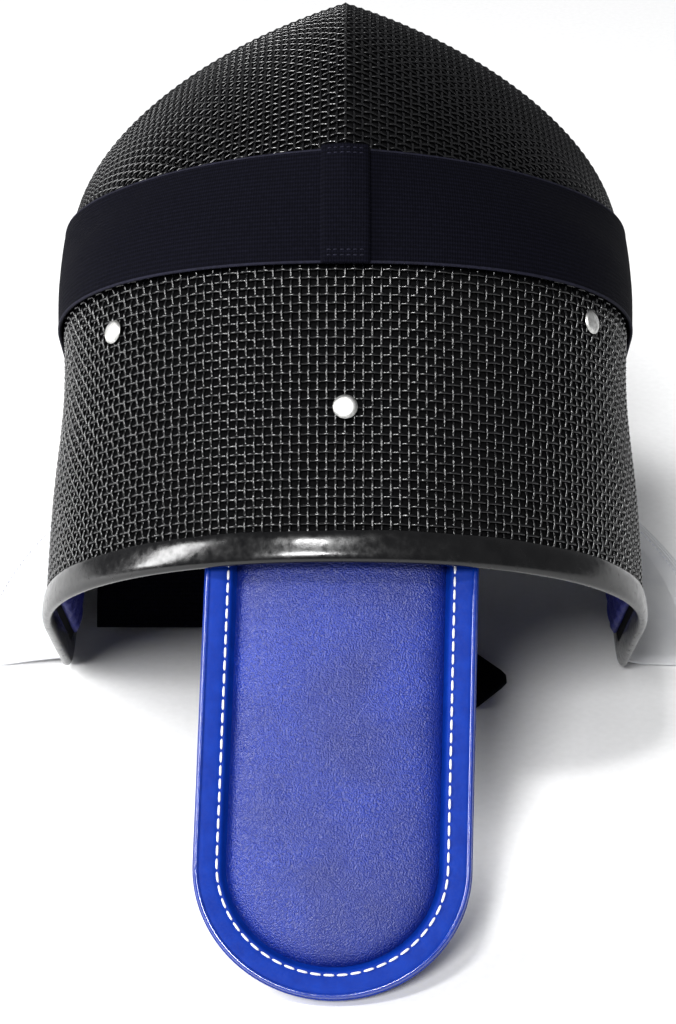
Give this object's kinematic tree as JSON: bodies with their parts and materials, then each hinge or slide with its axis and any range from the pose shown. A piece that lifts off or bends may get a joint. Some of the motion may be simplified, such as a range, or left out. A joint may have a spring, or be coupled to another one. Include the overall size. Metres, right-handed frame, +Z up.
{
  "type": "fencing mask",
  "caption": "Fencing mask with a woven wire shell, ridged face, vinyl edging, sprung padded tongue, crown elastic and flared bib, lying on its open back.",
  "frame": {"origin": "middle of the object's box, on the surface that it lies on", "axes": "+Z up from that surface; the crown opening and the tongue point to -Y, the chin and the bib to +Y, +X across"},
  "size_m": [0.3032, 0.4676, 0.2522],
  "materials": {
    "wire": "black coated woven steel wire",
    "vinyl": "glossy vinyl",
    "rivet": "satin",
    "tongue_leather": "smooth grained leatherette",
    "elastic": "woven elastic",
    "bib_cloth": "tight white weave",
    "lining_cloth": "soft lining"
  },
  "bodies": {
    "root": {"crown_mesh": "wire", "face_mesh": "wire", "edge_trim": "vinyl", "rivet_center": "rivet", "rivet_left": "rivet", "rivet_right": "rivet", "tongue_pad": "tongue_leather", "tongue_binding": "tongue_leather", "elastic_strap": "elastic", "strap_tab": "elastic", "fastening_strap": "elastic", "bib": "bib_cloth", "bib_binding": "bib_cloth", "cheek_lining_left": "lining_cloth", "cheek_lining_right": "lining_cloth"}
  },
  "joints": []
}
